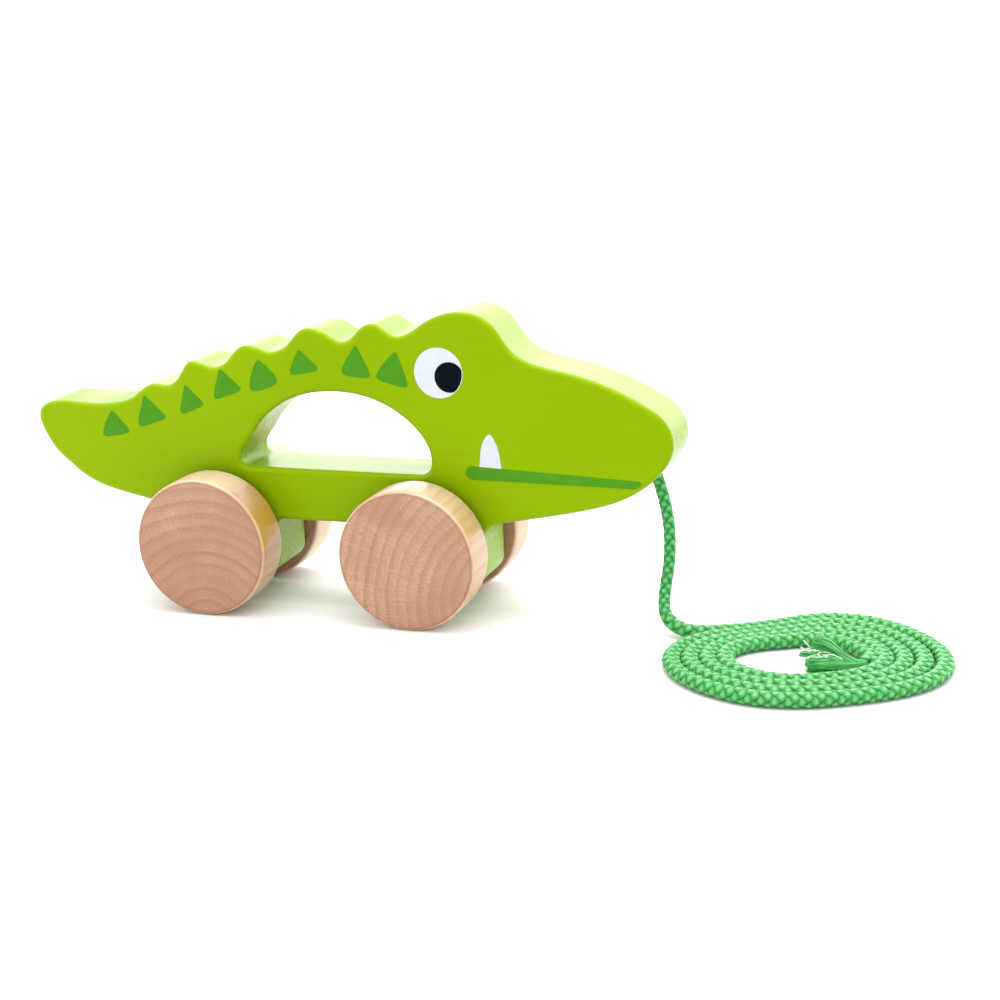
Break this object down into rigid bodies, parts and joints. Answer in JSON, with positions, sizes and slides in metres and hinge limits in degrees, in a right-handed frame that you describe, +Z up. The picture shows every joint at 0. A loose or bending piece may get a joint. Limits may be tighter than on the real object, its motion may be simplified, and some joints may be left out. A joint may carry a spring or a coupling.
{
  "type": "pull along toy",
  "caption": "Wooden pull-along crocodile: a lime-painted profiled board with a hand opening, on turned wooden wheels, with a braided cord hanging from the jaw into a floor coil.",
  "frame": {"origin": "on the floor, under the middle of the board between tail tip and snout tip, on the board's mid plane", "axes": "+X from tail to snout, +Y to the toy's left along the axles, +Z up"},
  "size_m": [0.3352, 0.1039, 0.1082],
  "materials": {
    "lime_painted_wood": "satin-gloss lime paint over close-grained wood",
    "lacquered_wood": "clear-lacquered close-grained wood, end grain on the faces",
    "dowel_wood": "bare turned dowel",
    "green_print": "printed paint film",
    "white_print": "printed paint film",
    "black_print": "printed paint film",
    "green_cord": "round braided polyester"
  },
  "bodies": {
    "root": {"body_board": "lime_painted_wood", "left_back_scales": "green_print", "left_eye_white": "white_print", "left_eye_pupil": "black_print", "left_tooth": "white_print", "left_mouth_line": "green_print", "right_back_scales": "green_print", "right_eye_white": "white_print", "right_eye_pupil": "black_print", "right_tooth": "white_print", "right_mouth_line": "green_print", "pull_cord": "green_cord", "cord_coil": "green_cord", "cord_frayed_end": "green_cord"},
    "rear_wheelset": {"rear_axle": "dowel_wood", "rear_left_wheel": "lacquered_wood", "rear_right_wheel": "lacquered_wood"},
    "front_wheelset": {"front_axle": "dowel_wood", "front_left_wheel": "lacquered_wood", "front_right_wheel": "lacquered_wood"}
  },
  "joints": [
    {"name": "rear_axle_roll", "type": "hinge", "parent": "root", "child": "rear_wheelset", "pos_m": [-0.0475, 0, 0.025], "axis": [0, 1, 0], "continuous": true},
    {"name": "front_axle_roll", "type": "hinge", "parent": "root", "child": "front_wheelset", "pos_m": [0.03075, 0, 0.025], "axis": [0, 1, 0], "continuous": true}
  ]
}
